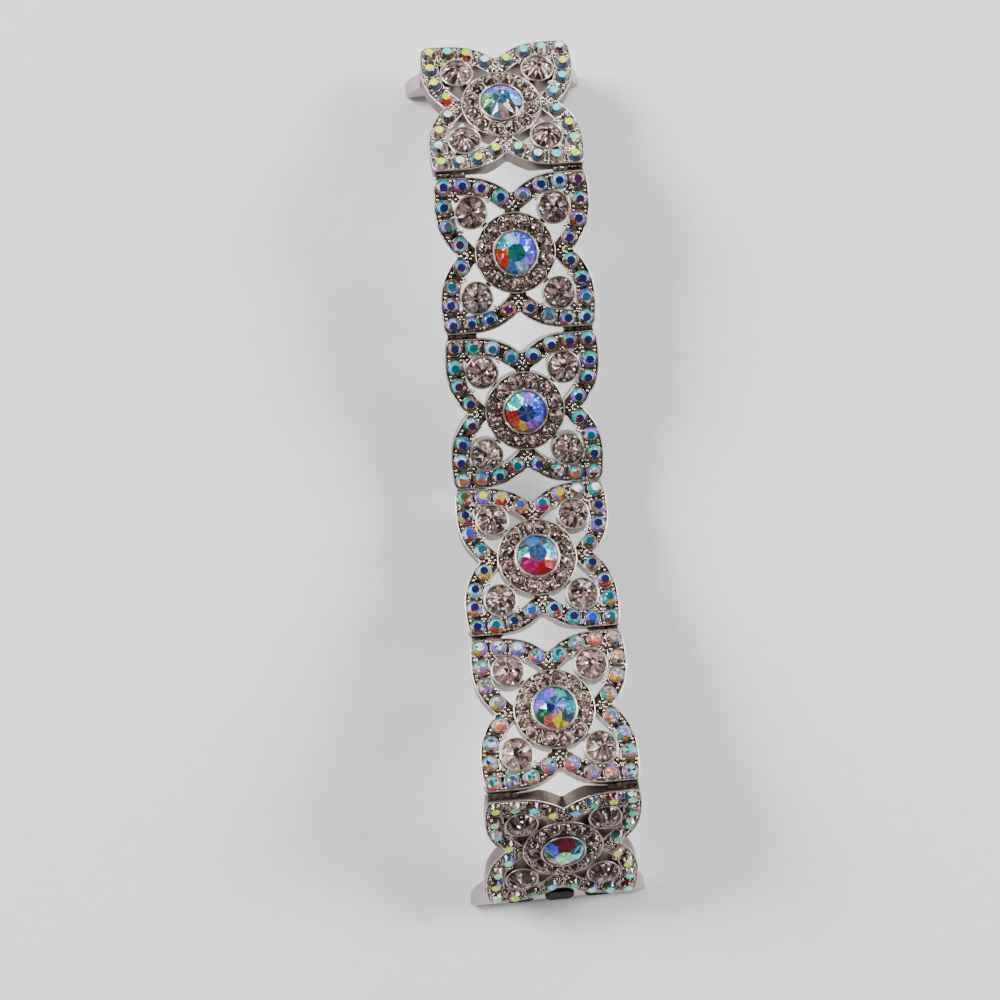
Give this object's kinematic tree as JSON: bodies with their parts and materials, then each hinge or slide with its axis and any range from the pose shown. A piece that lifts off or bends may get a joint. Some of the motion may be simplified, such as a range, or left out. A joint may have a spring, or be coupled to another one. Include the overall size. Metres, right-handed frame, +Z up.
{
  "type": "rhinestone watch band",
  "caption": "Watch band of hinged openwork cast links set with faceted flat-back stones, with a slide-in case adapter and sprung latch at each end.",
  "frame": {"origin": "centre of the footprint, on the plane that the band lies on", "axes": "+Z up through the stone side, +Y along the band toward the top adapter, +X across it"},
  "size_m": [0.0246, 0.1184, 0.0211],
  "materials": {
    "cast_silver_alloy": "cast alloy, polished and rhodium plated, with a bright rim round each stone",
    "smoky_crystal": "foiled flat-back glass, smoky greige with pinkish sparkle",
    "pin_steel": "drawn steel wire",
    "spring_steel": "spring steel wire",
    "adapter_alloy": "satin alloy, slightly pinkish grey",
    "black_rubber": "matte black rubber",
    "black_plastic": "matte black moulded plastic",
    "aurora_crystal_1": "foiled flat-back glass with a rainbow coating, cyan, light green, yellow and white",
    "aurora_crystal_2": "foiled flat-back glass with a rainbow coating, blue, purple and lilac",
    "aurora_crystal_3": "foiled flat-back glass with a rainbow coating, teal and dark blue with orange spots",
    "aurora_crystal_4": "foiled flat-back glass with a rainbow coating, blue with yellow and magenta",
    "aurora_crystal_5": "foiled flat-back glass with a rainbow coating, pastel yellow, pink, lilac and cyan",
    "aurora_crystal_6": "foiled flat-back glass with a rainbow coating, green, cyan and dark red"
  },
  "bodies": {
    "link_1": {"link_1_frame": "cast_silver_alloy", "link_1_border_stones": "aurora_crystal_1", "link_1_halo_stones": "smoky_crystal", "link_1_wing_stones": "smoky_crystal", "link_1_centre_stone": "aurora_crystal_1"},
    "link_2": {"link_2_frame": "cast_silver_alloy", "link_2_border_stones": "aurora_crystal_2", "link_2_halo_stones": "smoky_crystal", "link_2_wing_stones": "smoky_crystal", "link_2_centre_stone": "aurora_crystal_2", "hinge_pins_1_2": "pin_steel"},
    "link_3": {"link_3_frame": "cast_silver_alloy", "link_3_border_stones": "aurora_crystal_3", "link_3_halo_stones": "smoky_crystal", "link_3_wing_stones": "smoky_crystal", "link_3_centre_stone": "aurora_crystal_3", "hinge_pins_2_3": "pin_steel"},
    "link_4": {"link_4_frame": "cast_silver_alloy", "link_4_border_stones": "aurora_crystal_4", "link_4_halo_stones": "smoky_crystal", "link_4_wing_stones": "smoky_crystal", "link_4_centre_stone": "aurora_crystal_4", "hinge_pins_3_4": "pin_steel"},
    "link_5": {"link_5_frame": "cast_silver_alloy", "link_5_border_stones": "aurora_crystal_5", "link_5_halo_stones": "smoky_crystal", "link_5_wing_stones": "smoky_crystal", "link_5_centre_stone": "aurora_crystal_5", "hinge_pins_4_5": "pin_steel"},
    "link_6": {"link_6_frame": "cast_silver_alloy", "link_6_border_stones": "aurora_crystal_6", "link_6_halo_stones": "smoky_crystal", "link_6_wing_stones": "smoky_crystal", "link_6_centre_stone": "aurora_crystal_6", "hinge_pins_5_6": "pin_steel"},
    "top_adapter": {"top_slider": "adapter_alloy", "top_bar": "pin_steel", "top_latch_spring": "spring_steel", "top_pads": "black_rubber"},
    "top_latch_button": {"top_latch": "black_plastic"},
    "bottom_adapter": {"bottom_slider": "adapter_alloy", "bottom_bar": "pin_steel", "bottom_latch_spring": "spring_steel", "bottom_pads": "black_rubber"},
    "bottom_latch_button": {"bottom_latch": "black_plastic"}
  },
  "joints": [
    {"name": "hinge_3_4", "type": "hinge", "parent": "link_3", "child": "link_4", "pos_m": [0, -0.00179, 0.00662], "axis": [1, 0, 0], "range_deg": [-3, 99]},
    {"name": "hinge_4_5", "type": "hinge", "parent": "link_4", "child": "link_5", "pos_m": [0, -0.0222, 0.01272], "axis": [1, 0, 0], "range_deg": [-33, 69]},
    {"name": "hinge_5_6", "type": "hinge", "parent": "link_5", "child": "link_6", "pos_m": [0, -0.04226, 0.01988], "axis": [1, 0, 0], "range_deg": [-99, 3]},
    {"name": "hinge_2_3", "type": "hinge", "parent": "link_3", "child": "link_2", "pos_m": [0, 0.01865, 0.01261], "axis": [1, 0, 0], "range_deg": [-59, 43]},
    {"name": "hinge_1_2", "type": "hinge", "parent": "link_2", "child": "link_1", "pos_m": [0, 0.03967, 0.01607], "axis": [1, 0, 0], "range_deg": [-32, 70]},
    {"name": "top_adapter_swing", "type": "hinge", "parent": "link_1", "child": "top_adapter", "pos_m": [0, 0.05638, 0.00609], "axis": [1, 0, 0], "range_deg": [-28, 82]},
    {"name": "bottom_adapter_swing", "type": "hinge", "parent": "link_6", "child": "bottom_adapter", "pos_m": [0, -0.05489, 0.00507], "axis": [1, 0, 0], "range_deg": [-13, 97]},
    {"name": "top_latch_press", "type": "slide", "parent": "top_adapter", "child": "top_latch_button", "axis": [0, 0.9794, -0.2019], "range_m": [-0.0005, 0], "stiffness_N_per_m": 50, "springref_m": 0.0005},
    {"name": "bottom_latch_press", "type": "slide", "parent": "bottom_adapter", "child": "bottom_latch_button", "axis": [0, -0.781, 0.6246], "range_m": [-0.0005, 0], "stiffness_N_per_m": 50, "springref_m": 0.0005}
  ]
}
